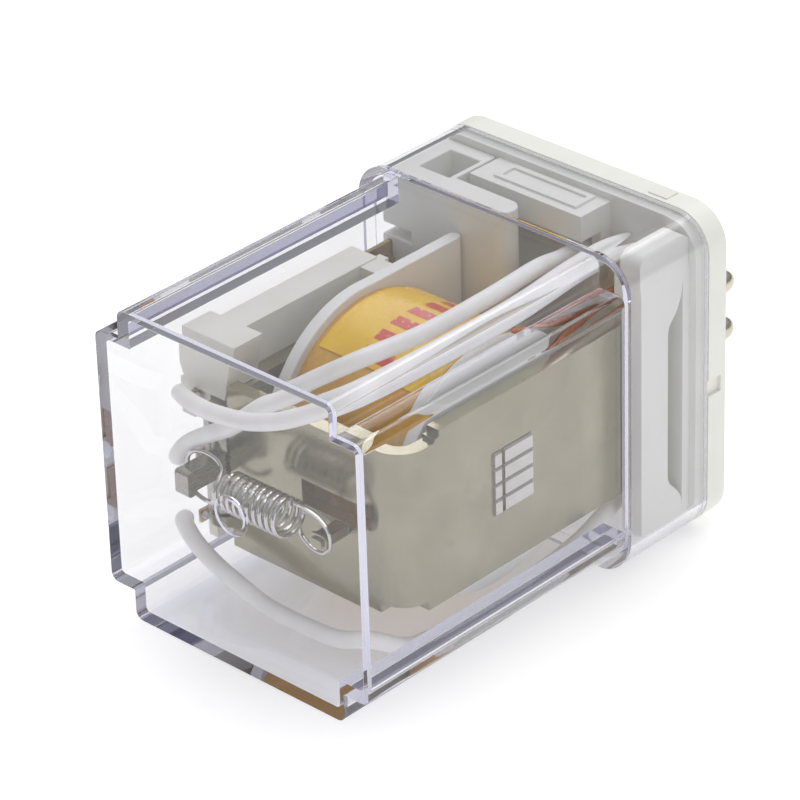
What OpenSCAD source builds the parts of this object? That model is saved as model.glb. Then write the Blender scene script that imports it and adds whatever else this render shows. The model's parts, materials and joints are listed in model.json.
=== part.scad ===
// Plug-in relay, three changeover poles, eleven-pin round plug, clear cover.
// Units are millimetres. The relay lies on its side: +Z is up, the long axis is Y,
// the pins point to +Y and the closed end of the cover faces -Y.
// The origin is the centre of the seating face, on the axis of the spigot.

/* [Cover] */
// Outside width and height of the grooved part
body_w = 34.5; // [30:0.1:40]
// Outside width and height of the full section and of the flange
full_w = 35.3; // [30:0.1:41]
// Length from the closed end to the seating face
body_l = 51.6; // [45:0.1:60]
// Thickness of the clear walls
wall = 1.0; // [0.8:0.1:1.6]
// Depth of the groove along each long edge
groove = 3.2; // [2:0.1:4.5]
// Length of the grooves from the closed end
groove_l = 36.8; // [20:0.1:42]
// Corner radius of the full section
corner_r = 4.0; // [2:0.1:6]

/* [Base] */
// Thickness of the outer flange
flange_t = 2.6; // [2:0.1:5]
// Front face of the platform inside the cover
plat_y = -3.8; // [-8:0.1:-3]
// Radius of the spigot
spigot_r = 3.95; // [3:0.05:5]
// Length of the spigot
spigot_l = 13; // [8:0.5:18]

/* [Pins] */
// Number of pins on the circle
pin_n = 11; // [8:1:14]
// Diameter of the pin circle
pin_pcd = 19.05; // [15:0.05:24]
// Radius of a pin
pin_r = 1.25; // [1:0.01:1.6]
// Length of a pin below the seating face
pin_l = 11; // [8:0.5:14]

/* [Magnet system] */
// Thickness of the yoke plate
yoke_t = 1.6; // [1:0.1:2.5]
// Outer face of the yoke side plate
yoke_x = 13.0; // [10:0.1:13.5]
// Outer face of the yoke end plate
yoke_y = -43.2; // [-46:0.1:-40]
// Outer radius of the yoke bend
bend_r = 3.2; // [2:0.1:5]
// Middle of the coil along the relay
coil_y = -27.9; // [-32:0.1:-24]
// Middle of the coil in height
coil_z = -1.4; // [-4:0.1:4]
// Radius of the bobbin flanges
bobbin_r = 13.2; // [10:0.1:14]
// Outer radius of the taped winding
coil_r = 12.3; // [8:0.1:13]
// Core section along the relay
core_w = 5.4; // [4:0.1:8]
// Core section in height
core_h = 7.0; // [4:0.1:9]
// Number of core laminations
core_n = 4; // [2:1:8]
// Pole face of the core
pole_x = -8.2; // [-9:0.1:-7]

/* [Armature and contacts] */
// Armature pivot across the relay
piv_x = -10.6; // [-12:0.1:-9]
// Armature pivot along the relay
piv_y = -42.4; // [-44:0.1:-40]
// Inner face of the armature at rest
arm_x = -9.2; // [-10:0.1:-8.8]
// Thickness of the armature
arm_t = 1.8; // [1:0.1:2.5]
// Height of the middle pole
pole_z = -1.4; // [-3:0.1:3]
// Distance between poles
pole_p = 6.8; // [5:0.1:8]
// Outer face of the moving leaf springs
leaf_x = -14.0; // [-15:0.1:-13]
// Where the contacts meet, along the relay
tip_y = -16.8; // [-20:0.1:-14]
// Radius of a contact button
button_r = 1.35; // [0.8:0.05:2]

/* [Return spring] */
// Number of turns
turns = 10; // [5:1:14]
// Mean radius of the coils
spring_r = 1.85; // [1.5:0.05:3]
// Radius of the spring wire
wire_r = 0.23; // [0.2:0.01:0.4]

/* [Leads] */
// Radius of a sleeved lead
sleeve_r = 0.88; // [0.5:0.05:1.2]

/* [Hidden] */
// Half of the outer width, and the rim of the cover.
hw = full_w / 2;
rim_y = -flange_t - 0.15;
// The works are drawn for a cover 52.5 long and keep their distance from its closed end.
works_dy = 52.5 - body_l;
// Platform front, lead ends and blade ends, as drawn in the works.
plat_w = plat_y - works_dy;
lead_y1 = plat_w - 0.25;
blade_y1 = plat_w + 0.8;
// Heights of the three poles.
zs = [pole_z + pole_p, pole_z, pole_z - pole_p];
// Bottom and top of the yoke, and top of its end plate.
yoke_z0 = -11.0;
yoke_z1 = 8.0;
plate_z1 = 6.9;
// Bobbin ends and flange thickness.
bob_x0 = -6.7;
bob_x1 = 10.7;
bob_t = 1.4;
// Fixed blades: outer faces of the two rows and their thickness.
nc_x = -15.85;
no_x = -11.05;
blade_t = 0.5;
// Inner end of a pin, how much thinner its shank is in the base, and depth of the counterbore.
pin_y0 = -2.7;
pin_step = 0.45;
pin_bore = 0.3;
// Axis of the return spring, and where its turns begin and end.
spring_y = -47.9;
spring_z = -0.7;
coil_x0 = -4.6;
coil_x1 = 4.0;
$fn = 48;

// Extrusions along the axes. The flat shape is drawn in (x, z) or in (y, z).
module along_y(y0, y1) translate([0, y1, 0]) rotate([90, 0, 0]) linear_extrude(y1 - y0) children();
module along_x(x0, x1) translate([x0, 0, 0]) rotate([90, 0, 90]) linear_extrude(x1 - x0) children();

// Shift from the zero of the works to the seating face.
module works() translate([0, works_dy, 0]) children();

// Block between two corners.
module box(a, b) translate(a) cube(b - a);

// Rounded rectangle about the origin.
module rr(w, h, r) {
  square([w - 2 * r, h], center = true);
  square([w, h - 2 * r], center = true);
  for (i = [-1, 1], j = [-1, 1]) translate([i * (w / 2 - r), j * (h / 2 - r)]) circle(r);
}

// Cross-shaped section left by the four edge grooves.
module grooved(w, g, r) {
  rr(w, w - 2 * g, r);
  rr(w - 2 * g, w, r);
}

// Smooth curve through points, m steps between each two.
function spline(p, m) = let (n = len(p)) concat([for (i = [0 : n - 2], k = [0 : m - 1])
  let (u = k / m, a = p[max(i - 1, 0)], b = p[i], c = p[i + 1], d = p[min(i + 2, n - 1)])
  0.5 * (2 * b + (c - a) * u + (2 * a - 5 * b + 4 * c - d) * u * u
    + (3 * b - a - 3 * c + d) * u * u * u)], [p[n - 1]]);
function unit(v) = v / norm(v);

// Round wire of radius r along a list of points, s sides.
module wire(p, r, s) {
  n = len(p);
  t = [for (i = [0 : n - 1]) unit(p[min(i + 1, n - 1)] - p[max(i - 1, 0)])];
  first = unit(cross(t[0], abs(t[0][2]) < 0.8 ? [0, 0, 1] : [0, 1, 0]));
  side = [for (i = 0, v = first; i < n; i = i + 1,
    v = i < n ? unit(v - (v * t[i]) * t[i]) : v) v];
  ring = [for (i = [0 : n - 1]) let (a = side[i], b = cross(t[i], a))
    for (k = [0 : s - 1]) p[i] + r * (cos(360 * k / s) * a + sin(360 * k / s) * b)];
  faces = concat([[for (k = [0 : s - 1]) k]],
    [for (i = [0 : n - 2], k = [0 : s - 1]) let (q = (k + 1) % s)
      [i * s + k, (i + 1) * s + k, (i + 1) * s + q, i * s + q]],
    [[for (k = [0 : s - 1]) n * s - 1 - k]]);
  polyhedron(ring, faces, convexity = 6);
}

// Clear cover: grooved section, then the full section at the open end.
module cover() color([0.9, 0.92, 0.97, 0.35]) {
  y_end = -body_l + groove_l;
  iw = body_w - 2 * wall;
  fw = full_w - 2 * wall;
  difference() {
    union() {
      along_y(-body_l, y_end) grooved(body_w, groove, 0.9);
      along_y(y_end, rim_y) rr(full_w, full_w, corner_r);
    }
    along_y(-body_l + wall, y_end + wall + 0.01) grooved(iw, groove, 0.5);
    along_y(y_end + wall, rim_y + 1) rr(fw, fw, corner_r - wall);
    along_y(-body_l - 1, -body_l + 0.3) difference() {
      circle(2.15);
      circle(1.65);
    }
  }
}

// Section that passes into the open end of the cover with play all round.
module inside() rr(full_w - 2 * wall - 0.4, full_w - 2 * wall - 0.4, corner_r - wall - 0.2);

// Slots that hold the fixed blades.
module blade_slots() for (z = zs, x = [nc_x, no_x])
  box([x, -20, z - 2.2], [x + blade_t, blade_y1, z + 2.2]);

// Moulded base: flange, platform, walls and keyed spigot.
module base() color([0.93, 0.92, 0.88]) difference() {
  union() {
    along_y(-flange_t, 0) rr(full_w, full_w, corner_r);
    along_y(plat_y, -flange_t) inside();
    intersection() {
      works() {
        side_wall();
        shelf();
      }
      along_y(-20, plat_y + 1) inside();
    }
    along_y(-1, spigot_l - 0.8) circle(spigot_r);
    translate([0, spigot_l - 0.8, 0]) rotate([-90, 0, 0])
      cylinder(0.8, spigot_r, spigot_r - 0.8);
    box([0, -1, -0.85], [spigot_r + 1.1, spigot_l - 2, 0.85]);
    box([9.4, -2.1, hw - 1], [11.8, -0.4, hw + 0.15]);
  }
  along_y(1.2, spigot_l + 1) circle(spigot_r - 1.3);
  pin_places() {
    along_y(pin_y0, 1) circle(pin_r - pin_step);
    along_y(-pin_bore, 1) circle(pin_r + 0.02);
  }
  works() {
    blade_slots();
    for (z = [-8.6, 2.6]) box([yoke_x - yoke_t, -5.2, z], [yoke_x, -3.3, z + 3]);
  }
  box([hw - 0.4, -flange_t - 0.5, -2.2], [hw + 1, -0.7, -0.4]);
}

// Places on the pin circle. The first two stand half a step either side of the key.
module pin_places() for (k = [0 : pin_n - 1]) rotate([0, -(k + 0.5) * 360 / pin_n, 0])
  translate([pin_pcd / 2, 0, 0]) children();

// Tall wall beside the yoke, with a waisted slot before the platform.
module side_wall() difference() {
  along_x(yoke_x + 0.1, 15.6) translate([-8.2, 0]) rr(7.4, 31.6, 1.2);
  along_x(yoke_x, 16) polygon(concat(
    spline([[-5.7, 11.4], [-5.9, 10], [-6.6, 8.4], [-7.6, 7.2], [-7.9, 6.3]], 5),
    spline([[-7.9, -9.9], [-7.6, -10.8], [-6.6, -11.9], [-5.9, -13], [-5.7, -14]], 5)));
}

// Block that holds the fixed contact blades, and the wall along its top.
module contact_block() color([0.93, 0.92, 0.88]) works() difference() {
  union() {
    intersection() {
      box([-17, -13.6, -13.4], [-9, plat_w - 0.02, 15.6]);
      along_y(-20, plat_w) inside();
    }
    box([-9.1, -13.6, 2], [-1.5, -10.6, 15.6]);
    translate([-1.5, -12.1, 2]) cylinder(13.6, r = 1.5);
  }
  for (z = zs) box([-18, -14, z + 2.8], [-12.6, -7, z + 4]);
  box([-13.6, -11, 10.6], [-9.6, -6.4, 16]);
  blade_slots();
}

// Shelf over the lead entries, with a raised pad.
module shelf() {
  box([-8.5, -9.2, 12.9], [6.1, plat_w + 0.5, 15.7]);
  box([-8.5, -6.2, 8], [-6.9, plat_w + 0.5, 13]);
  box([4.9, -6.2, 8], [6.1, plat_w + 0.5, 13]);
  difference() {
    box([-6.2, -8.2, 15.6], [4.6, -5.2, 15.95]);
    box([-5.6, -7.6, 15], [4.0, -5.8, 17]);
  }
}

// Pins with bullet noses, dimpled at the tip, on a thinner shank in the base.
module contact_pins() color([0.82, 0.8, 0.74]) pin_places() rotate([-90, 0, 0])
  rotate_extrude() polygon([
    [0, pin_y0], [pin_r - pin_step, pin_y0], [pin_r - pin_step, 0], [pin_r, 0],
    [pin_r, pin_l - 1.5], [pin_r - 0.08, pin_l - 0.9], [pin_r - 0.3, pin_l - 0.4],
    [pin_r - 0.55, pin_l - 0.1], [pin_r - 0.7, pin_l], [0.4, pin_l - 0.25], [0, pin_l - 0.9]]);

// Bent yoke: side plate, round bend, end plate with window, tongue and hinge ears.
module yoke() color([0.72, 0.7, 0.65]) works() difference() {
  union() {
    box([yoke_x - yoke_t, -38.6, yoke_z0], [yoke_x, plat_w - 0.05, yoke_z1]);
    box([yoke_x - yoke_t, yoke_y + bend_r, yoke_z0], [yoke_x, -38.5, plate_z1]);
    for (z = [-8.6, 2.6]) box([yoke_x - yoke_t, plat_w - 0.1, z], [yoke_x, -3.3, z + 3]);
    translate([yoke_x - bend_r, yoke_y + bend_r, yoke_z0 + 1]) intersection() {
      difference() {
        cylinder(plate_z1 - yoke_z0 - 1, r = bend_r);
        translate([0, 0, -1]) cylinder(30, r = bend_r - yoke_t);
      }
      translate([0, -bend_r - 1, 0]) cube([bend_r + 1, bend_r + 1, 30]);
    }
    box([-8.9, yoke_y, yoke_z0], [yoke_x - bend_r, yoke_y + yoke_t, plate_z1]);
    for (z = [2.6, -9.1]) translate([0, 0, z]) {
      translate([piv_x, piv_y, 0]) cylinder(1.2, r = 1.6);
      box([piv_x, yoke_y, 0], [-8.8, yoke_y + yoke_t, 1.2]);
    }
    tongue();
  }
  box([0.8, yoke_y - 1, -2.3], [8.8, yoke_y + yoke_t + 1, 0.4]);
  for (z = [2.6, -9.1]) translate([piv_x, piv_y, z - 0.1]) cylinder(1.4, r = 0.6);
  along_x(yoke_x - yoke_t - 1, yoke_x + 1) translate([coil_y, coil_z])
    square([core_w, core_h], center = true);
  box([yoke_x - yoke_t - 1, -39, yoke_z1 - 0.7], [yoke_x + 1, -38, yoke_z1 + 1]);
}

// Tongue lanced out of the window, with a bevelled head that keeps the spring on.
module tongue() {
  box([5.2, -46.4, -3.5], [6.8, yoke_y + 0.1, -2.4]);
  along_y(-46.6, -46.3) polygon([[4.9, -3.4], [5.3, -3.8], [6.8, -3.8], [7.1, -3.4],
    [7.1, -2.5], [6.7, -2.1], [5.3, -2.1], [4.9, -2.5]]);
  along_y(-46.9, -46.5) polygon([[5.3, -3.2], [5.5, -3.4], [6.6, -3.4], [6.75, -3.2],
    [6.75, -2.7], [6.5, -2.5], [5.5, -2.5], [5.3, -2.7]]);
}

// Core laminations, staked in the side plate with bevelled ends, slotted at the pole face.
module core_laminations() color([0.66, 0.65, 0.62]) works() {
  t = core_h / core_n;
  end = yoke_x + 0.28;
  for (k = [0 : core_n - 1]) translate([0, 0, coil_z - core_h / 2 + k * t]) difference() {
    along_y(coil_y - core_w / 2, coil_y + core_w / 2) polygon([[pole_x, 0.02],
      [end - 0.2, 0.02], [end, 0.22], [end, t - 0.22], [end - 0.2, t - 0.02],
      [pole_x, t - 0.02]]);
    box([yoke_x - 0.4, coil_y - core_w / 2 + 0.95, -1], [yoke_x + 1, coil_y - core_w / 2 + 1.4, 4]);
    box([pole_x - 1, coil_y - 0.8, -1], [pole_x + 1.2, coil_y, 4]);
  }
}

// Copper shading ring round half of the pole face.
module shading_ring() color([0.72, 0.45, 0.3]) works() along_x(pole_x + 0.15, pole_x + 1.15)
  translate([coil_y, coil_z]) difference() {
    translate([-core_w / 2 - 0.8, -core_h / 2 - 0.8]) square([core_w / 2 + 0.8, core_h + 1.6]);
    translate([-core_w / 2, -core_h / 2]) square([core_w / 2 - 0.8, core_h]);
  }

// Bobbin: tube, two round flanges and a barrier wall towards the base.
module bobbin() color([0.92, 0.92, 0.88]) works() difference() {
  union() {
    along_x(bob_x0, bob_x1) translate([coil_y, coil_z]) circle(5.2);
    for (x = [bob_x0, bob_x1 - bob_t]) along_x(x, x + bob_t)
      translate([coil_y, coil_z]) circle(bobbin_r, $fn = 96);
    box([bob_x0, coil_y, -9], [bob_x0 + bob_t, -14.5, coil_z + bobbin_r - 0.05]);
    translate([bob_x0 + bob_t / 2, -14.5, -9])
      cylinder(coil_z + bobbin_r + 8.95, r = bob_t / 2);
  }
  along_x(bob_x0 - 1, bob_x1 + 1) translate([coil_y, coil_z])
    square([core_w + 0.04, core_h + 0.04], center = true);
  for (y = [coil_y + 4.2, coil_y + 6.2])
    box([bob_x1 - bob_t - 0.5, y, coil_z + 11.2], [bob_x1 + 0.5, y + 1, coil_z + 14]);
}

// Ring about the coil axis.
module ring(r0, r1, x0, x1) along_x(x0, x1) translate([coil_y, coil_z]) difference() {
  circle(r1, $fn = 96);
  circle(r0, $fn = 96);
}
module coil_winding() color([0.72, 0.42, 0.2]) works()
  ring(5.2, coil_r - 0.5, bob_x0 + bob_t, bob_x1 - bob_t);
module coil_wrap() color([0.85, 0.68, 0.3, 0.9]) works()
  ring(coil_r - 0.5, coil_r, bob_x0 + bob_t, bob_x1 - bob_t);

// Yellow voltage label round the top of the coil.
module coil_label() color([0.86, 0.72, 0.2]) works() intersection() {
  ring(coil_r, coil_r + 0.12, bob_x0 + bob_t + 0.6, bob_x1 - bob_t - 0.7);
  along_x(-20, 20) translate([coil_y, coil_z])
    polygon([[0, 0], [-11.6, 16], [10, 30], [20, 14]]);
}

// Two thin leads from the winding to the base.
module coil_leads() color([0.62, 0.3, 0.14]) works() {
  wire(spline([[9.2, coil_y + 4.7, 11.0], [9.9, coil_y + 4.9, 11.0], [10.6, -20.5, 10.9],
    [10.6, -15, 10.4], [10.4, lead_y1, 9.6]], 8), 0.4, 10);
  wire(spline([[9.2, coil_y + 6.7, 10.2], [9.8, coil_y + 6.9, 10.2], [10.4, -18.5, 9.4],
    [10.4, -14, 8.6], [10.2, lead_y1, 7.2]], 8), 0.4, 10);
}

// Pin that carries the armature between the two ears of the yoke.
module hinge_pin() color([0.6, 0.6, 0.6]) works() {
  translate([piv_x, piv_y, -9.3]) cylinder(13.3, r = 0.6);
  translate([piv_x, piv_y, 3.8]) cylinder(0.4, r = 1.0);
}

// Fixed contact blades in the contact block, and their buttons.
module blades(x) for (z = zs) difference() {
  union() {
    box([x, tip_y, z - 2.2], [x + blade_t, blade_y1, z + 2.2]);
    along_x(x, x + blade_t) translate([tip_y, z]) circle(2.2);
  }
  along_x(x - 1, x + 2) translate([tip_y, z]) circle(0.7);
}
module no_blades() color([0.8, 0.68, 0.42]) works() blades(no_x);
module nc_blades() color([0.8, 0.68, 0.42]) works() blades(nc_x);
module buttons(x0, x1, face) for (z = zs) {
  along_x(x0, x1) translate([tip_y, z]) circle(0.7);
  if (face < x0) along_x(face, x0) translate([tip_y, z]) circle(button_r);
  else along_x(x1, face) translate([tip_y, z]) circle(button_r);
}
module no_contacts() color([0.85, 0.85, 0.85]) works()
  buttons(no_x, no_x + blade_t, no_x - 0.6);
module nc_contacts() color([0.85, 0.85, 0.85]) works()
  buttons(nc_x, nc_x + blade_t, nc_x + blade_t + 0.6);

// Sleeved lead along a curve through points.
module lead(points) color([0.93, 0.94, 0.92]) works() wire(spline(points, 6), sleeve_r, 16);

// Leads from the moving springs, round the closed end, back to the base.
module lead_top() lead([
  [-14.9, -43.7, 4.3], [-13.9, -44.15, 4.4], [-12.3, -44.8, 4.7], [-8.9, -46.2, 5.7],
  [-5.3, -47.8, 7.2], [-2.4, -48.3, 8.0], [0.4, -48.4, 8.8], [4.4, -48.2, 10.5],
  [8.2, -46.2, 12.5], [9.9, -42.5, 13.4], [10.2, -34, 13.4], [10.2, -24, 13.4],
  [9.4, -15, 13.4], [8.8, -9, 13.0], [8.6, lead_y1, 12.2]]);
module lead_middle() lead([
  [-15.1, -43.7, -2.9], [-14.3, -45.0, -2.1], [-12.9, -45.3, -0.3], [-11.0, -45.5, 1.3],
  [-8.3, -46.0, 3.2], [-5.5, -46.0, 5.0], [-1.7, -45.6, 8.4], [0, -44.9, 9.4],
  [1.5, -44.2, 10.4], [3.2, -43.0, 11.6], [5.8, -40, 13.2], [7.3, -33, 13.5],
  [7.2, -24, 13.4], [6.2, -16, 12.9], [4.6, -10.5, 11.2], [3.5, lead_y1, 10.2]]);
module lead_bottom() lead([
  [-15.1, -43.7, -10.1], [-13.9, -45.0, -9.5], [-11.3, -46.0, -10.3], [-8.1, -46.5, -11.3],
  [-5.2, -46.7, -12.0], [-2.5, -46.7, -12.8], [0.1, -46.6, -13.3], [5.0, -46.4, -13.4],
  [8.1, -46.2, -13.2], [10.2, -45.4, -12.8], [11.0, -43.6, -13.8], [11.4, -41.6, -14.9],
  [11.9, -39, -15.2], [12.1, -34, -15.3], [12.1, -24, -15.2], [11.6, -16, -14.6],
  [10.8, -10, -13.4], [10.6, lead_y1, -12.6]]);

// Armature plate with knuckle and a tail for the return spring.
module armature() color([0.7, 0.69, 0.66]) works() difference() {
  union() {
    box([arm_x - arm_t, -40.4, -8.6], [arm_x, -20.5, 5.4]);
    box([arm_x - arm_t, piv_y, -7.6], [arm_x, -40.3, 2.3]);
    translate([piv_x, piv_y, -7.6]) cylinder(9.9, r = 1.4);
    box([arm_x - arm_t, -48.2, -2.9], [arm_x, piv_y, -0.7]);
    along_x(arm_x - arm_t, arm_x) translate([-48.0, -2.0]) rr(1.2, 2.7, 0.4);
  }
  translate([piv_x, piv_y, -20]) cylinder(40, r = 0.65);
}

// Moulded carrier on the armature: rib along the top, a block at each end, front plate.
module contact_carrier() color([0.92, 0.91, 0.86]) works() difference() {
  union() {
    box([leaf_x + 0.3, -40.3, -12.2], [arm_x - arm_t, -20.5, 8.2]);
    box([-14.5, -39, 8.1], [-11.0, -20.2, 10]);
    along_y(-42.5, -38.6) polygon([[-8.8, 10], [-9.9, 4.6], [-15.1, 4.6], [-15.9, 6.7],
      [-15.9, 10]]);
    box([-14.0, -22.6, 5.7], [-8.8, -20.0, 9.8]);
    box([-11.4, -20.1, 7.4], [-10.2, -19.4, 9.8]);
    box([leaf_x + 0.3, -41.9, -12.2], [-12.5, -40.2, 5.8]);
    box([-15.9, -42.5, 1.2], [leaf_x - 0.1, -41.7, 5.2]);
  }
  box([arm_x - arm_t, -40.5, 4], [-8, -38, 5.5]);
  box([leaf_x, -41.6, zs[0] - 2.4], [leaf_x + 0.3, -15, zs[0] + 2.4]);
  box([-15, -41.7, zs[0] - 2.4], [leaf_x + 0.3, -15, zs[0] + 2.4]);
  for (z = zs, y = [-37, -25]) along_x(-20, -12.2) translate([y, z]) circle(0.6);
}

// Rivets that clamp the leaf springs to the carrier.
module carrier_rivets() color([0.75, 0.72, 0.66]) works() for (z = zs, y = [-37, -25]) {
  along_x(leaf_x, -12.3) translate([y, z]) circle(0.6);
  along_x(leaf_x - 0.35, leaf_x) translate([y, z]) circle(1.1);
}

// Three moving leaf springs with a solder tag at the front.
module moving_springs() color([0.78, 0.6, 0.36]) works() for (z = zs) difference() {
  along_x(leaf_x, leaf_x + 0.3) {
    translate([-41.5, z - 2.3]) square([24.7, 4.6]);
    translate([tip_y, z]) circle(2.3);
    translate([-42.9, z - 2.3]) square([1.5, 1.4]);
  }
  for (y = [-37, -25]) along_x(-20, -12) translate([y, z]) circle(0.6);
  along_x(-20, -12) translate([tip_y, z]) circle(0.7);
}

// Double-headed moving contacts.
module moving_contacts() color([0.85, 0.85, 0.85]) works() for (z = zs) {
  along_x(leaf_x - 0.6, leaf_x) translate([tip_y, z]) circle(button_r);
  along_x(leaf_x, leaf_x + 0.3) translate([tip_y, z]) circle(0.7);
  along_x(leaf_x + 0.3, leaf_x + 0.9) translate([tip_y, z]) circle(button_r);
}

// Solder joints on the tags of the leaf springs, where the leads end.
module lead_joints() color([0.75, 0.76, 0.77]) works() for (z = zs)
  translate([leaf_x + 0.3, -42.4, z - 1.6]) rotate([0, 90, 0]) cylinder(0.5, 0.45, 0.3);

// Return spring from the armature tail to the tongue of the yoke, a loop at each end.
module return_spring() color([0.62, 0.6, 0.56]) works() wire(concat(
  spline([[-7.2, -46.9, -3.6], [-8.2, -46.6, -4.2], [-9.3, -46.5, -4.35], [-10.5, -46.5, -4.0],
    [-11.2, -46.5, -3.2], [-11.3, -46.5, -1.7], [-11.25, -46.5, -0.4], [-10.6, -46.5, 0.5],
    [-9.5, -46.5, 0.95], [-8.0, -46.7, 1.25], [-6.4, -47.1, 1.3], [-5.1, -47.8, 1.2]], 6),
  [for (k = [2 : 24 * turns - 2]) [coil_x0 + (coil_x1 - coil_x0) * k / (24 * turns),
    spring_y - spring_r * sin(15 * k), spring_z + spring_r * cos(15 * k)]],
  spline([[4.25, -47.5, 0.95], [4.9, -46.8, 0.35], [5.8, -46.2, -0.5], [6.7, -46, -1.5],
    [7.06, -46, -2.8], [6.8, -46, -3.9], [5.9, -46, -4.5], [4.6, -46, -4.4], [3.5, -46, -3.7],
    [3.1, -46, -2.7], [3.3, -46, -1.5], [4.0, -46.2, -0.6]], 6)), wire_r, 10);

cover();
base();
contact_block();
contact_pins();
yoke();
core_laminations();
shading_ring();
bobbin();
coil_winding();
coil_wrap();
coil_label();
coil_leads();
hinge_pin();
no_blades();
no_contacts();
nc_blades();
nc_contacts();
lead_top();
lead_middle();
lead_bottom();
armature();
contact_carrier();
carrier_rivets();
moving_springs();
moving_contacts();
lead_joints();
return_spring();
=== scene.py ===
"""Looks of a plug-in relay that lies on its side in a clear cover. Metres, in the frame of the CAD part."""

import json
import math
import bmesh
import bpy
from mathutils import Matrix, Vector


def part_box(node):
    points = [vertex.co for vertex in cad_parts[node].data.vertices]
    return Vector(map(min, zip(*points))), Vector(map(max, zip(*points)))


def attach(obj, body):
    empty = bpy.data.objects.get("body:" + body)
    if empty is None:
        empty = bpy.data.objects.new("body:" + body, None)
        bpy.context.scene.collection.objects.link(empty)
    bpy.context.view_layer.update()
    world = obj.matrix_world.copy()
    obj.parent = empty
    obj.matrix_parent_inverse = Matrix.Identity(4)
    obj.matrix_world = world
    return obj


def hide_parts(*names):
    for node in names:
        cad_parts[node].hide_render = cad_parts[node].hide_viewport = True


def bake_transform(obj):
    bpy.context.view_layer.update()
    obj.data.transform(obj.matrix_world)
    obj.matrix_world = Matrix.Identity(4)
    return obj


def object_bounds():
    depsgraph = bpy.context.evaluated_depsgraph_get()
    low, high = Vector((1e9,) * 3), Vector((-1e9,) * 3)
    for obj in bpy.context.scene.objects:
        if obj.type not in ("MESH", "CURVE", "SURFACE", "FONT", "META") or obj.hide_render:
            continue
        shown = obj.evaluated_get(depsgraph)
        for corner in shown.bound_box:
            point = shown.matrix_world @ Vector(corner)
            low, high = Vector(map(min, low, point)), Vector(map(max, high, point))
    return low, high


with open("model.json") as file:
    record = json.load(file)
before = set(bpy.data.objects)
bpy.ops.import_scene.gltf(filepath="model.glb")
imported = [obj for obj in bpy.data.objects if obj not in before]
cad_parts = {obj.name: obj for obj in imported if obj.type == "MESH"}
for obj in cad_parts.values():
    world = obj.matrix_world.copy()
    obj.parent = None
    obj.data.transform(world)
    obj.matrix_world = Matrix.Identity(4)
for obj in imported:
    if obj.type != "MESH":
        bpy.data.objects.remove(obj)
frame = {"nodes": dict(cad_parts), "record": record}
cad_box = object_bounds()
NODES = dict(frame["nodes"])
BODY = {node: body for body, names in frame["record"]["behaviour"]["bodies"].items() for node in names}
FLOOR_Z = cad_box[0][2]
LEADS = ("lead_top", "lead_middle", "lead_bottom")

# camera: place, own axes in the frame of the relay, lens and film in mm
CAMERA_PLACE = (0.2614, -0.3002, 0.2213)
CAMERA_RIGHT = (0.7316, 0.6812, -0.0270)
CAMERA_UP = (-0.3252, 0.3836, 0.8644)
CAMERA_BACK = (0.5991, -0.6236, 0.5021)
LENS = 202.5
FILM = 36

# soft edges: points closer than WELD are joined, edges bent by more than SHARP are rounded
WELD = 0.000002
FLAT = math.radians(0.5)
SHARP = math.radians(35)
RING_MARK_R = 0.003
END_WALL_SKIN = 0.0006
SPRING_BENDS = (-0.008, 0.003)
LEAD_BENDS = (-0.0145, -0.004)

# clear cover: after more bounces than this a ray counts as caught in the wall
BOUNCES_IN_WALL = 3.5
CLEAR_TINT = (0.93, 0.93, 0.95, 1)
TRAPPED_TINT = (0.66, 0.66, 0.75, 1)
WALL_TINT = (0.82, 0.82, 0.90, 1)
WALL_DENSITY = 40

# label print, its angles in radians round the coil
BARS_PER_RADIAN = 5.2
BAR_SHARE = 0.62
BAR_HALF_LENGTH = 0.0019
PRINT_CENTRE = -0.1
PRINT_HALF_ANGLE = 0.62
WEAR = 0.36
WIRE_PITCH = 0.0009

# stage: SKY is grey over the height of a direction
MIDDLE = (0, -0.02, 0)
SKY = ((0.0, 0.22), (0.3, 0.5), (0.75, 1.0))
SKY_STRENGTH = 0.72


# ---------------------------------------------------------------- camera

def make_camera():
    data = bpy.data.cameras.new("camera")
    data.lens, data.sensor_width = LENS, FILM
    data.clip_start, data.clip_end = 0.01, 10
    camera = bpy.data.objects.new("camera", data)
    bpy.context.scene.collection.objects.link(camera)
    axes = (Vector(CAMERA_RIGHT), Vector(CAMERA_UP), Vector(CAMERA_BACK))
    turn = Matrix(axes).transposed().to_4x4()
    camera.matrix_world = Matrix.Translation(CAMERA_PLACE) @ turn
    bpy.context.scene.camera = camera


# ---------------------------------------------------------------- shapes

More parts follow.
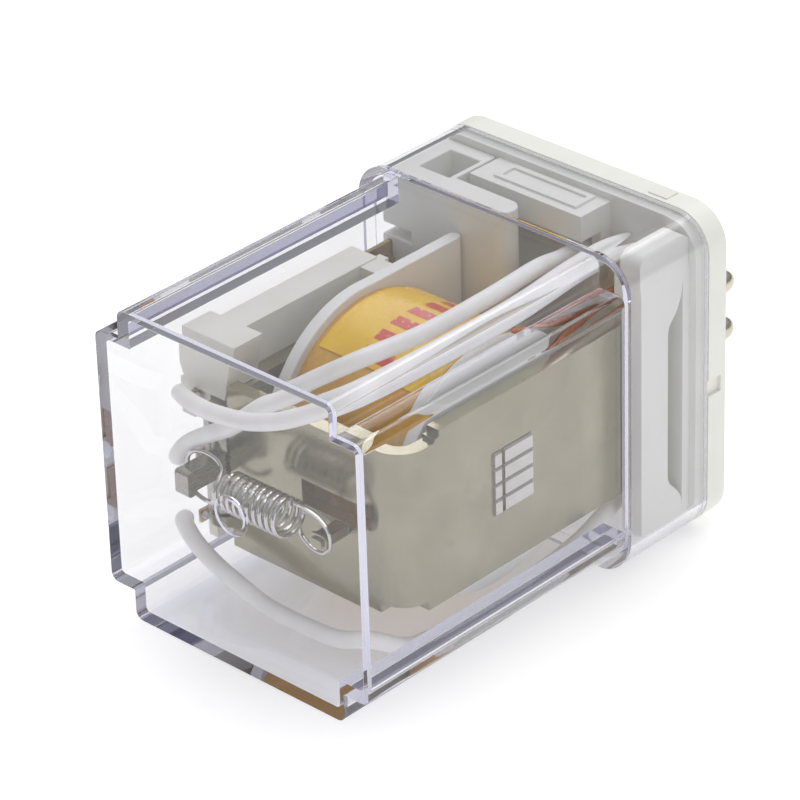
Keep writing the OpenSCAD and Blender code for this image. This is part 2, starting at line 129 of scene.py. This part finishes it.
def soften(name, width=0.0, segments=2, leave=None, bends=None):
    """A smooth copy of a CAD node, its sharp edges rounded by width, shown in place of the node.
    Edges whose middle passes the test in leave stay sharp. Given bends, the copy is set in place in the
    frame and tied to no body; the X values in bends are not used."""
    source = NODES[name]
    piece = bpy.data.objects.new(name + "_soft", source.data.copy())
    piece.matrix_world = source.matrix_world
    bpy.context.scene.collection.objects.link(piece)
    mesh = bmesh.new()
    mesh.from_mesh(piece.data)
    bmesh.ops.remove_doubles(mesh, verts=mesh.verts, dist=WELD)
    if width:
        bmesh.ops.dissolve_limit(mesh, angle_limit=FLAT, verts=mesh.verts, edges=mesh.edges)
    weight = mesh.edges.layers.float.new("bevel_weight_edge")
    for edge in mesh.edges:
        middle = (edge.verts[0].co + edge.verts[1].co) / 2
        sharp = len(edge.link_faces) == 2 and edge.calc_face_angle() > SHARP
        edge[weight] = float(sharp and not (leave and leave(middle)))
        edge.smooth = not sharp
    for face in mesh.faces:
        face.smooth = True
    mesh.to_mesh(piece.data)
    mesh.free()
    if width:
        bevel = piece.modifiers.new("edges", "BEVEL")
        bevel.width, bevel.segments, bevel.limit_method = width, segments, "WEIGHT"
        bevel.harden_normals = True
    if bends:
        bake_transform(piece)
    else:
        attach(piece, BODY[name])
    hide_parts(name)
    NODES[name] = piece


def soften_all():
    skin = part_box("cover")[0][1] + END_WALL_SKIN

    def on_ring_mark(place):
        return place.y < skin and math.hypot(place.x, place.z) < RING_MARK_R

    soften("cover", 0.00028, 3, on_ring_mark)
    soften("base", 0.00022)
    soften("contact_block", 0.0002)
    soften("yoke", 0.00018)
    soften("contact_carrier", 0.00018)
    soften("armature", 0.00015)
    soften("bobbin", 0.00015)
    soften("return_spring", bends=SPRING_BENDS)
    for name in LEADS:
        soften(name, bends=LEAD_BENDS)
    for name in ("coil_leads", "contact_pins", "coil_winding", "coil_wrap", "coil_label"):
        soften(name)


# ---------------------------------------------------------------- shader nodes

class Shader:
    """A material with a Principled shader and short ways to feed it."""

    def __init__(self, name, **values):
        self.mat = bpy.data.materials.new(name)
        self.mat.use_nodes = True
        self.tree = self.mat.node_tree
        self.bsdf = self.tree.nodes["Principled BSDF"]
        self.out = self.tree.nodes["Material Output"]
        for key, value in values.items():
            self.set(key.replace("_", " "), value)

    def set(self, socket, value):
        if isinstance(value, tuple) and len(value) == 3:
            value = (*value, 1)
        self.bsdf.inputs[socket].default_value = value

    def link(self, output, node, socket):
        self.tree.links.new(output, node.inputs[socket])

    def drive(self, socket, output):
        self.link(output, self.bsdf, socket)

    def place(self, stretch=(1, 1, 1)):
        """Object coordinates, scaled along each axis."""
        coord = self.tree.nodes.new("ShaderNodeTexCoord")
        mapping = self.tree.nodes.new("ShaderNodeMapping")
        mapping.inputs["Scale"].default_value = stretch
        self.link(coord.outputs["Object"], mapping, "Vector")
        return mapping.outputs["Vector"]

    def split(self, output):
        """X, Y and Z of a vector."""
        node = self.tree.nodes.new("ShaderNodeSeparateXYZ")
        self.link(output, node, 0)
        return node.outputs

    def noise(self, size, stretch=(1, 1, 1), detail=3, rough=0.5):
        """Noise whose features are about size metres across."""
        node = self.tree.nodes.new("ShaderNodeTexNoise")
        node.inputs["Scale"].default_value = 1 / size
        node.inputs["Detail"].default_value = detail
        node.inputs["Roughness"].default_value = rough
        self.link(self.place(stretch), node, "Vector")
        return node.outputs["Fac"]

    def ramp(self, output, *stops):
        """Colour or grey over an input: stops of (position, value)."""
        node = self.tree.nodes.new("ShaderNodeValToRGB")
        points = node.color_ramp.elements
        while len(points) < len(stops):
            points.new(0.5)
        for point, (at, value) in zip(points, stops):
            point.position = at
            grey = not isinstance(value, tuple)
            point.color = (value, value, value, 1) if grey else (*value, 1)
        self.link(output, node, "Fac")
        return node.outputs["Color"]

    def bump(self, output, depth, before=None):
        """Bump of depth metres, over an earlier normal if one is given."""
        node = self.tree.nodes.new("ShaderNodeBump")
        node.inputs["Strength"].default_value = 1
        node.inputs["Distance"].default_value = depth
        self.link(output, node, "Height")
        if before:
            self.link(before, node, "Normal")
        return node.outputs["Normal"]

    def maths(self, operation, *values):
        """A Math node over numbers and outputs."""
        node = self.tree.nodes.new("ShaderNodeMath")
        node.operation = operation
        for place, value in enumerate(values):
            if isinstance(value, (int, float)):
                node.inputs[place].default_value = value
            else:
                self.link(value, node, place)
        return node.outputs[0]

    def transparent(self, tint):
        node = self.tree.nodes.new("ShaderNodeBsdfTransparent")
        node.inputs["Color"].default_value = tint
        return node.outputs[0]

    def put(self, *names):
        """Gives the material to every slot of the named pieces."""
        for name in names:
            for slot in NODES[name].material_slots:
                slot.material = self.mat
        return self


# ---------------------------------------------------------------- materials

def clear_plastic():
    """Polished clear plastic. Lamp and diffuse rays, and rays caught inside a wall, go straight on."""
    look = Shader("clear_plastic", Base_Color=(0.935, 0.935, 0.94), Roughness=0.02, IOR=1.46,
                  Transmission_Weight=1.0)
    look.drive("Normal", look.bump(look.noise(0.009, detail=2), 0.000012))
    nodes = look.tree.nodes
    path = nodes.new("ShaderNodeLightPath").outputs
    clear = look.transparent(CLEAR_TINT)
    trapped = look.transparent(TRAPPED_TINT)
    caught = look.maths("GREATER_THAN", path["Ray Depth"], BOUNCES_IN_WALL)
    surface = look.bsdf.outputs[0]
    for factor, through in ((caught, trapped), (path["Is Diffuse Ray"], clear),
                            (path["Is Shadow Ray"], clear)):
        mix = nodes.new("ShaderNodeMixShader")
        look.link(factor, mix, 0)
        look.link(surface, mix, 1)
        look.link(through, mix, 2)
        surface = mix.outputs[0]
    look.link(surface, look.out, "Surface")
    absorb = nodes.new("ShaderNodeVolumeAbsorption")
    absorb.inputs["Color"].default_value = WALL_TINT
    absorb.inputs["Density"].default_value = WALL_DENSITY
    look.link(absorb.outputs[0], look.out, "Volume")
    look.put("cover")


def moulded(name, colour, shade, rough, pieces):
    """Satin moulding: faint flow mottling, fine grain in the gloss."""
    look = Shader(name, IOR=1.5, Subsurface_Weight=0.12, Subsurface_Scale=0.0015)
    look.bsdf.inputs["Subsurface Radius"].default_value = (1.0, 0.95, 0.85)
    mottle = look.noise(0.006, detail=4)
    look.drive("Base Color", look.ramp(mottle, (0.3, shade), (0.65, colour)))
    gloss = look.noise(0.0012, detail=3)
    look.drive("Roughness", look.ramp(gloss, (0.3, rough - 0.06), (0.7, rough + 0.08)))
    fine = look.bump(look.noise(0.0003, detail=2), 0.000006)
    look.drive("Normal", look.bump(look.noise(0.004, detail=2), 0.00003, fine))
    look.put(*pieces)


def sheet_metal(name, colour, shade, rough, pieces, dents=0.00001):
    """Plated sheet: cloudy plating, fine drawn lines and shallow waviness."""
    look = Shader(name, Metallic=1.0)
    cloud = look.noise(0.006, detail=5, rough=0.6)
    look.drive("Base Color", look.ramp(cloud, (0.3, shade), (0.7, colour)))
    lines = look.noise(0.0005, (1, 0.06, 1), detail=4, rough=0.6)
    look.drive("Roughness", look.ramp(lines, (0.3, rough - 0.05), (0.7, rough + 0.06)))
    fine = look.bump(lines, 0.0000012)
    look.drive("Normal", look.bump(look.noise(0.008, detail=2), dents, fine))
    return look.put(*pieces)


def yoke_plate():
    """Satin side plate; the end plate and the bend are smoother and mirror what is near."""
    look = sheet_metal("yoke_plate", (0.48, 0.445, 0.295), (0.38, 0.35, 0.225), 0.25, ["yoke"])
    normal = look.tree.nodes.new("ShaderNodeNewGeometry").outputs["Normal"]
    look.drive("Roughness", look.ramp(look.split(normal)["X"], (0.3, 0.16), (0.95, 0.27)))


def sleeve():
    """Soft white sleeving, slightly soiled and uneven."""
    look = Shader("sleeve", IOR=1.45, Subsurface_Weight=0.2, Subsurface_Scale=0.001)
    soil = look.noise(0.004, detail=4)
    look.drive("Base Color", look.ramp(soil, (0.3, (0.84, 0.84, 0.81)), (0.6, (0.93, 0.93, 0.91))))
    look.drive("Roughness", look.ramp(look.noise(0.001), (0.3, 0.35), (0.7, 0.5)))
    look.drive("Normal", look.bump(look.noise(0.0011, detail=3), 0.00005))
    look.put(*LEADS)


def winding():
    """Varnished copper turns, shown as bands round the coil, with painted shade between turns and a painted
    sheen on each turn.
    """
    look = Shader("winding", Metallic=0.6, Coat_Weight=0.5, Roughness=0.35)
    wave = look.tree.nodes.new("ShaderNodeTexWave")
    wave.bands_direction = "X"
    wave.inputs["Scale"].default_value = 1 / WIRE_PITCH
    wave.inputs["Distortion"].default_value = 0.4
    look.link(look.place(), wave, "Vector")
    turns = wave.outputs["Fac"]
    # base colour is darker between turns as painted shade and brighter on each turn as a painted sheen
    look.drive("Base Color", look.ramp(turns, (0.2, (0.30, 0.10, 0.03)), (0.8, (0.72, 0.32, 0.12))))
    look.drive("Normal", look.bump(turns, 0.00006))
    look.put("coil_winding")


def tape(name, colour, shade, piece, alpha=1.0):
    """Glossy tape with shallow wrinkles."""
    look = Shader(name, IOR=1.5, Coat_Weight=0.12, Coat_Roughness=0.1, Alpha=alpha)
    look.drive("Base Color", look.ramp(look.noise(0.004, detail=4), (0.3, shade), (0.65, colour)))
    look.drive("Roughness", look.ramp(look.noise(0.0015), (0.3, 0.16), (0.7, 0.34)))
    look.drive("Normal", look.bump(look.noise(0.002, (1, 0.5, 0.5), detail=3), 0.00008))
    return look.put(piece)


def label():
    """Yellow tape with plain red bars across it."""
    look = tape("label_tape", (0.88, 0.56, 0.004), (0.82, 0.49, 0.003), "coil_label")
    low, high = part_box("coil_winding")
    place = look.split(look.place())
    across, along, upward = (look.maths("SUBTRACT", place[axis], (low[axis] + high[axis]) / 2)
                             for axis in range(3))
    angle = look.maths("ARCTAN2", along, upward)
    step = look.maths("FRACT", look.maths("MULTIPLY", angle, BARS_PER_RADIAN))
    bars = look.maths("LESS_THAN", step, BAR_SHARE)
    wide = look.maths("LESS_THAN", look.maths("ABSOLUTE", across), BAR_HALF_LENGTH)
    off_centre = look.maths("ABSOLUTE", look.maths("SUBTRACT", angle, PRINT_CENTRE))
    ends = look.maths("LESS_THAN", off_centre, PRINT_HALF_ANGLE)
    printed = look.maths("MULTIPLY", look.maths("MULTIPLY", bars, wide), ends)
    worn = look.maths("GREATER_THAN", look.noise(0.0006, detail=4), WEAR)
    mix = look.tree.nodes.new("ShaderNodeMix")
    mix.data_type = "RGBA"
    tape_colour = look.bsdf.inputs["Base Color"].links[0].from_socket
    look.link(look.maths("MULTIPLY", printed, worn), mix, "Factor")
    look.link(tape_colour, mix, 6)
    mix.inputs[7].default_value = (0.62, 0.05, 0.02, 1)
    look.drive("Base Color", mix.outputs[2])


def make_materials():
    clear_plastic()
    moulded("base_moulding", (0.83, 0.83, 0.785), (0.79, 0.79, 0.745), 0.42, ["base", "contact_block"])
    moulded("carrier_moulding", (0.83, 0.81, 0.735), (0.79, 0.77, 0.69), 0.42, ["contact_carrier"])
    moulded("bobbin_moulding", (0.86, 0.86, 0.83), (0.81, 0.81, 0.78), 0.4, ["bobbin"])
    yoke_plate()
    sheet_metal("armature_plate", (0.52, 0.49, 0.40), (0.42, 0.39, 0.31), 0.25, ["armature"])
    sheet_metal("core_steel", (0.82, 0.79, 0.70), (0.68, 0.65, 0.56), 0.16, ["core_laminations"])
    sheet_metal("pin_plate", (0.66, 0.62, 0.52), (0.54, 0.50, 0.42), 0.25, ["contact_pins", "hinge_pin"])
    sheet_metal("brass_strip", (0.72, 0.56, 0.30), (0.62, 0.46, 0.24), 0.3, ["no_blades", "nc_blades"])
    sheet_metal("bronze_strip", (0.74, 0.54, 0.34), (0.62, 0.43, 0.26), 0.28, ["moving_springs"])
    sheet_metal("silver_alloy", (0.80, 0.80, 0.78), (0.66, 0.65, 0.62), 0.22,
                ["no_contacts", "nc_contacts", "moving_contacts"])
    sheet_metal("rivet", (0.72, 0.55, 0.42), (0.58, 0.42, 0.32), 0.3, ["carrier_rivets", "shading_ring"])
    sheet_metal("solder", (0.70, 0.70, 0.69), (0.56, 0.56, 0.55), 0.3, ["lead_joints"])
    sheet_metal("spring_wire", (0.86, 0.83, 0.75), (0.72, 0.69, 0.61), 0.12, ["return_spring"],
                dents=0.000002)
    sheet_metal("enamel_wire", (0.70, 0.27, 0.10), (0.50, 0.16, 0.05), 0.3, ["coil_leads"])
    sleeve()
    winding()
    tape("wrap_tape", (0.84, 0.47, 0.06), (0.74, 0.37, 0.04), "coil_wrap", alpha=0.85)
    label()


# ---------------------------------------------------------------- stage

def make_floor():
    """White paper under the cover's lowest side, faintly lit of itself."""
    bpy.ops.mesh.primitive_plane_add(size=4, location=(0, 0, FLOOR_Z))
    floor = bpy.context.object
    floor.name = "floor"
    look = Shader("floor_paper", Roughness=0.7, Emission_Color=(1, 1, 1), Emission_Strength=0.32)
    look.drive("Base Color", look.ramp(look.noise(0.05), (0.3, 0.90), (0.7, 0.92)))
    floor.data.materials.append(look.mat)


def area_light(name, place, size, power):
    """A square lamp that faces the middle of the relay."""
    data = bpy.data.lights.new(name, "AREA")
    data.shape, data.size, data.energy = "SQUARE", size, power
    lamp = bpy.data.objects.new(name, data)
    bpy.context.scene.collection.objects.link(lamp)
    lamp.location = place
    lamp.rotation_euler = (Vector(place) - Vector(MIDDLE)).to_track_quat("Z", "Y").to_euler()


def make_light():
    """White tent: bright above, greyer towards the horizon so that metal keeps its contrast."""
    world = bpy.data.worlds.new("studio")
    bpy.context.scene.world = world
    world.use_nodes = True
    tree = world.node_tree
    coord = tree.nodes.new("ShaderNodeTexCoord")
    parts = tree.nodes.new("ShaderNodeSeparateXYZ")
    ramp = tree.nodes.new("ShaderNodeValToRGB")
    tree.links.new(coord.outputs["Generated"], parts.inputs[0])
    tree.links.new(parts.outputs["Z"], ramp.inputs["Fac"])
    tree.links.new(ramp.outputs["Color"], tree.nodes["Background"].inputs["Color"])
    points = ramp.color_ramp.elements
    points.new(0.3)
    for point, (at, grey) in zip(points, SKY):
        point.position = at
        point.color = (grey, grey, grey, 1)
    tree.nodes["Background"].inputs["Strength"].default_value = SKY_STRENGTH
    area_light("top", (-0.1, 0.2, 0.6), 0.5, 1.9)
    area_light("right", (0.6, -0.1, 0.35), 0.3, 0.6)
    bpy.context.scene.view_settings.view_transform = "Standard"


make_camera()
soften_all()
make_materials()
make_floor()
make_light()
